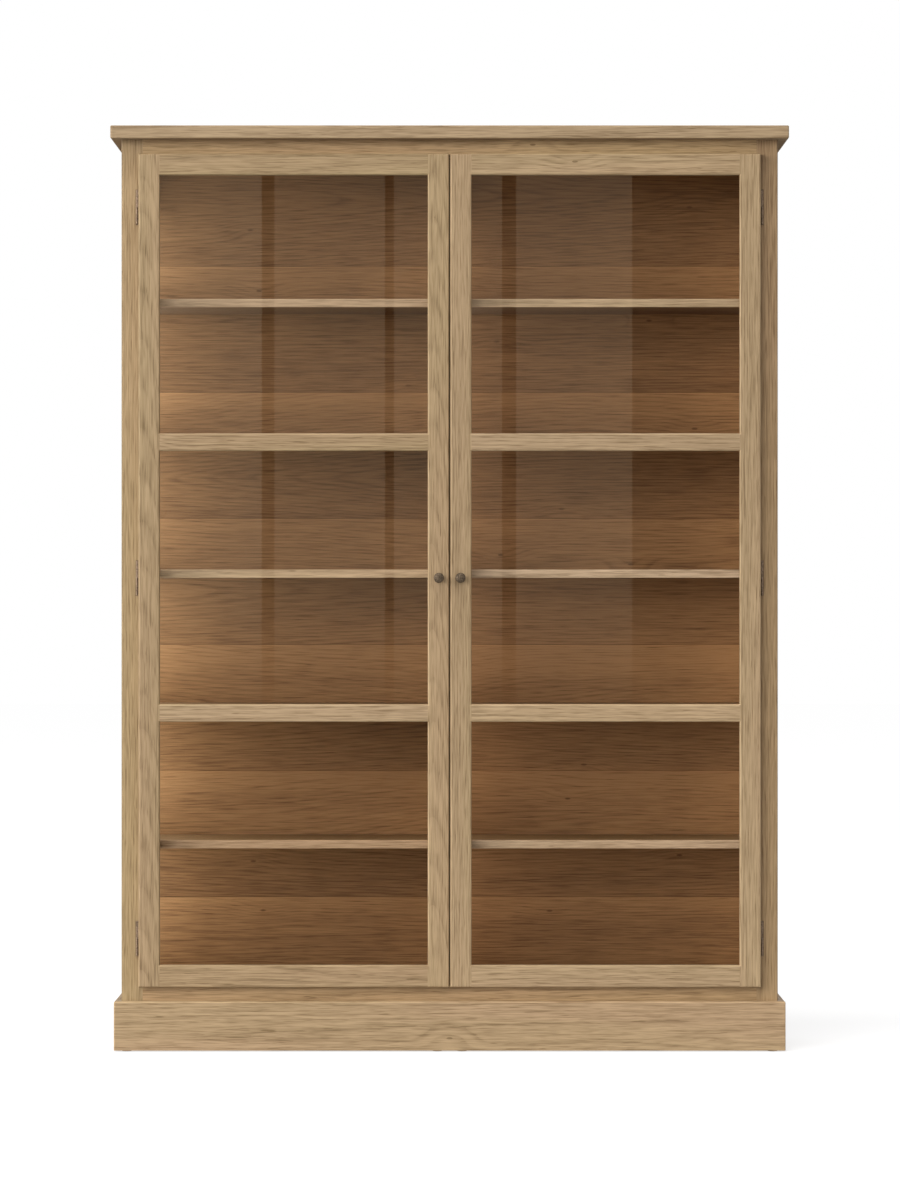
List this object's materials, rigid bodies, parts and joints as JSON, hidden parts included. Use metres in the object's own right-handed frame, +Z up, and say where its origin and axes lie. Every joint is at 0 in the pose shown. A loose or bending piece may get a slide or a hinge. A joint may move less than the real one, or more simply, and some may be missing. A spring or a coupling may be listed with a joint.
{
  "type": "bookcase with glass doors",
  "caption": "Tall free-standing oak bookcase with a pair of framed glass doors on butt hinges, shelves on pins, a veneered back and a plinth.",
  "frame": {"origin": "on the floor, under the middle of the whole piece", "axes": "+X to the viewer's right across the front, +Y from the doors to the back, +Z up"},
  "size_m": [1.464, 0.409, 2],
  "materials": {
    "oak": "satin oil on solid oak",
    "back_veneer": "satin lacquer on darker oak veneer",
    "door_glass": "clear float glass",
    "aged_bronze": "dark aged bronze",
    "zinc_steel": "zinc plated",
    "magnet": "nickel plated",
    "glide_plastic": "dark moulded plastic"
  },
  "bodies": {
    "carcass": {"back_panel": "back_veneer", "bottom_board": "oak", "carcass_screws": "zinc_steel", "catch_magnets": "magnet", "centre_bearers": "oak", "centre_partition": "oak", "floor_glides": "glide_plastic", "frame_bottom_rail": "oak", "frame_left_stile": "oak", "frame_mullion": "oak", "frame_right_stile": "oak", "frame_top_rail": "oak", "hinge_frame_leaves": "aged_bronze", "hinge_pins": "zinc_steel", "left_shelf_1": "oak", "left_shelf_2": "oak", "left_shelf_3": "oak", "left_shelf_4": "oak", "left_shelf_5": "oak", "left_side_panel": "oak", "plinth_front": "oak", "plinth_left": "oak", "plinth_right": "oak", "right_shelf_1": "oak", "right_shelf_2": "oak", "right_shelf_3": "oak", "right_shelf_4": "oak", "right_shelf_5": "oak", "right_side_panel": "oak", "shelf_pins": "zinc_steel", "top_board": "oak"},
    "left_door": {"left_door_bottom_rail": "oak", "left_door_catch_plates": "zinc_steel", "left_door_glazing_beads": "oak", "left_door_hinge_leaves": "aged_bronze", "left_door_hinge_stile": "oak", "left_door_knob": "aged_bronze", "left_door_lower_mid_rail": "oak", "left_door_lower_pane": "door_glass", "left_door_meeting_stile": "oak", "left_door_middle_pane": "door_glass", "left_door_screws": "zinc_steel", "left_door_top_rail": "oak", "left_door_upper_mid_rail": "oak", "left_door_upper_pane": "door_glass"},
    "right_door": {"right_door_bottom_rail": "oak", "right_door_catch_plates": "zinc_steel", "right_door_glazing_beads": "oak", "right_door_hinge_leaves": "aged_bronze", "right_door_hinge_stile": "oak", "right_door_knob": "aged_bronze", "right_door_lower_mid_rail": "oak", "right_door_lower_pane": "door_glass", "right_door_meeting_stile": "oak", "right_door_middle_pane": "door_glass", "right_door_screws": "zinc_steel", "right_door_top_rail": "oak", "right_door_upper_mid_rail": "oak", "right_door_upper_pane": "door_glass"}
  },
  "joints": [
    {"name": "left_door_hinge", "type": "hinge", "parent": "carcass", "child": "left_door", "pos_m": [-0.676, -0.157, 1.024], "axis": [0, 0, -1], "range_deg": [0, 100]},
    {"name": "right_door_hinge", "type": "hinge", "parent": "carcass", "child": "right_door", "pos_m": [0.676, -0.157, 1.024], "axis": [0, 0, 1], "range_deg": [0, 100]}
  ]
}
